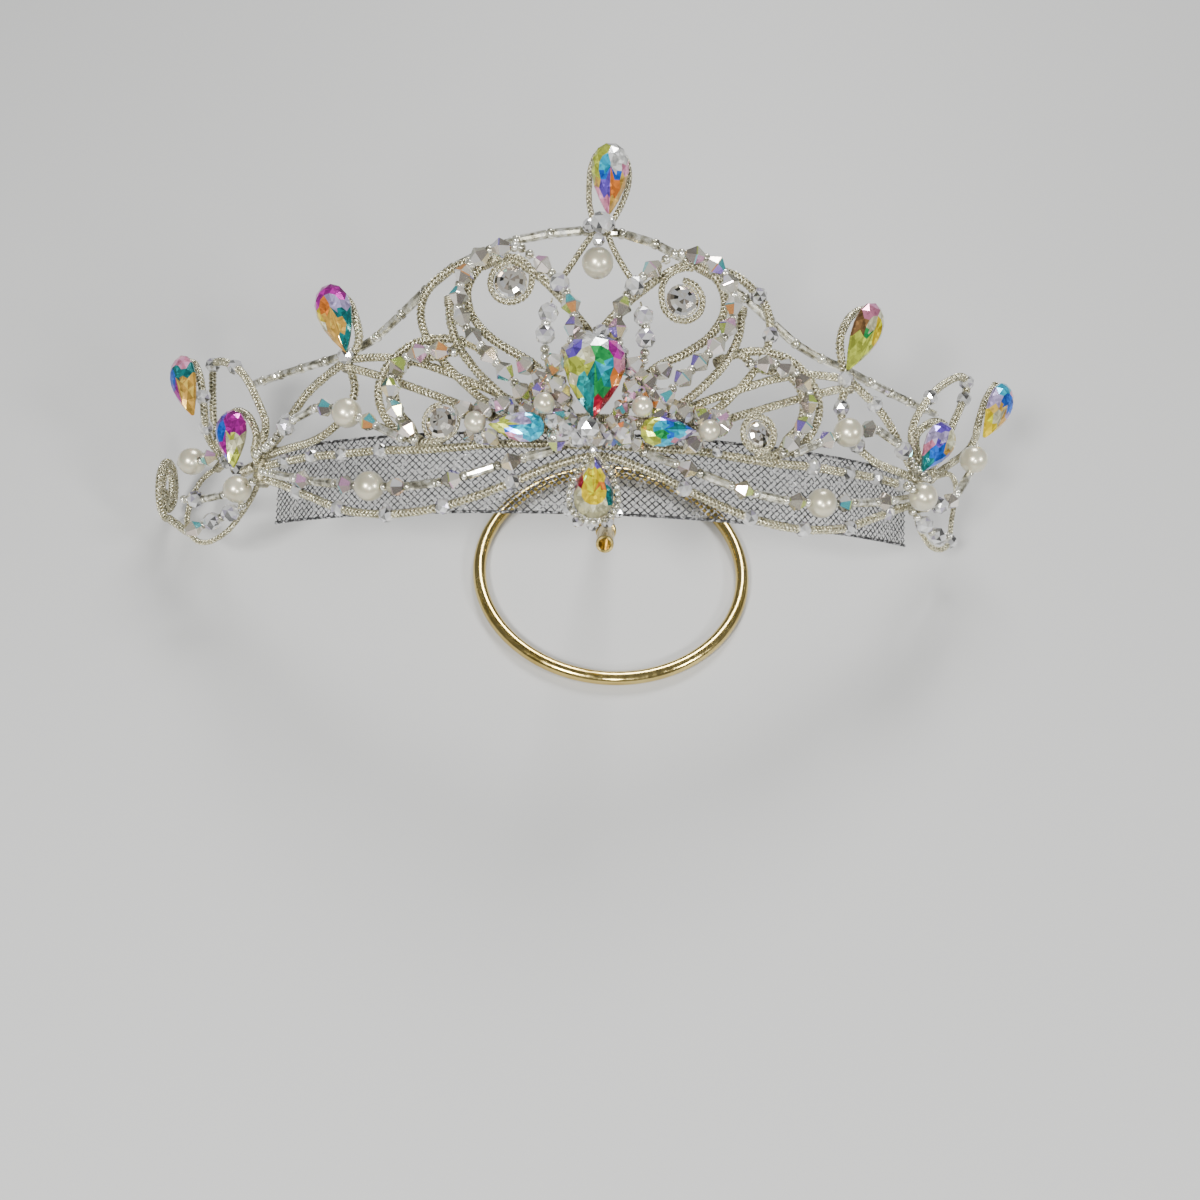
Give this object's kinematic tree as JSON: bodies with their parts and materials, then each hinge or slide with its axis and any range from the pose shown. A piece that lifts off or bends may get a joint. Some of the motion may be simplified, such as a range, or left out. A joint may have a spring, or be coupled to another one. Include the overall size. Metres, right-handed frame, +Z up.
{
  "type": "ballet tiara on a display stand",
  "caption": "Curved beaded wire tiara with curls, pear stones and pearls on a net band, leaning on a ring-based display stand.",
  "frame": {"origin": "middle of the box, on the table", "axes": "+X to the right as the tiara is seen from the front, -Y to the front, +Z up"},
  "size_m": [0.1899, 0.0691, 0.088],
  "materials": {
    "stand_metal": "polished gold tone",
    "net_cord": "fine black net",
    "wound_wire": "wire wound with champagne silver metal thread",
    "cut_stone": "faceted, with an iridescent coat",
    "clear_glass": "faceted or round clear beads",
    "tube_glass": "silver-lined tube beads",
    "pearl": "ivory pearl lustre",
    "thread": "clear thread"
  },
  "bodies": {
    "root": {"stand": "stand_metal", "net_band": "net_cord", "middle_wire": "wound_wire", "bottom_wire": "wound_wire", "wire_beads_left": "clear_glass", "wire_beads_right": "clear_glass", "side_frame_left": "wound_wire", "side_frame_right": "wound_wire", "centre_frame": "wound_wire", "end_leaf_left": "wound_wire", "end_leaf_right": "wound_wire", "centre_stone": "cut_stone", "side_stone_left": "cut_stone", "side_stone_right": "cut_stone", "drop_stone": "cut_stone", "crown_stone": "cut_stone", "crown_pearl": "pearl", "tine_stone_left": "cut_stone", "tine_stone_right": "cut_stone", "upper_rosette_left": "cut_stone", "upper_rosette_right": "cut_stone", "lower_rosette_left": "cut_stone", "lower_rosette_right": "cut_stone", "leaf_stone_left": "cut_stone", "leaf_stone_right": "cut_stone", "outer_stone_left": "cut_stone", "outer_stone_right": "cut_stone", "centre_beads": "clear_glass", "crown_beads": "clear_glass", "drop_beads": "clear_glass", "top_strand": "tube_glass", "top_thread": "thread", "curl_beads_left": "clear_glass", "curl_beads_right": "clear_glass", "inner_beads_left": "clear_glass", "inner_beads_right": "clear_glass", "pearl_strand_left": "pearl", "pearl_strand_right": "pearl", "bead_strand_left": "pearl", "bead_strand_right": "pearl", "strand_threads_left": "thread", "strand_threads_right": "thread", "leaf_beads_left": "pearl", "leaf_beads_right": "pearl", "leaf_threads_left": "thread", "leaf_threads_right": "thread"}
  },
  "joints": []
}
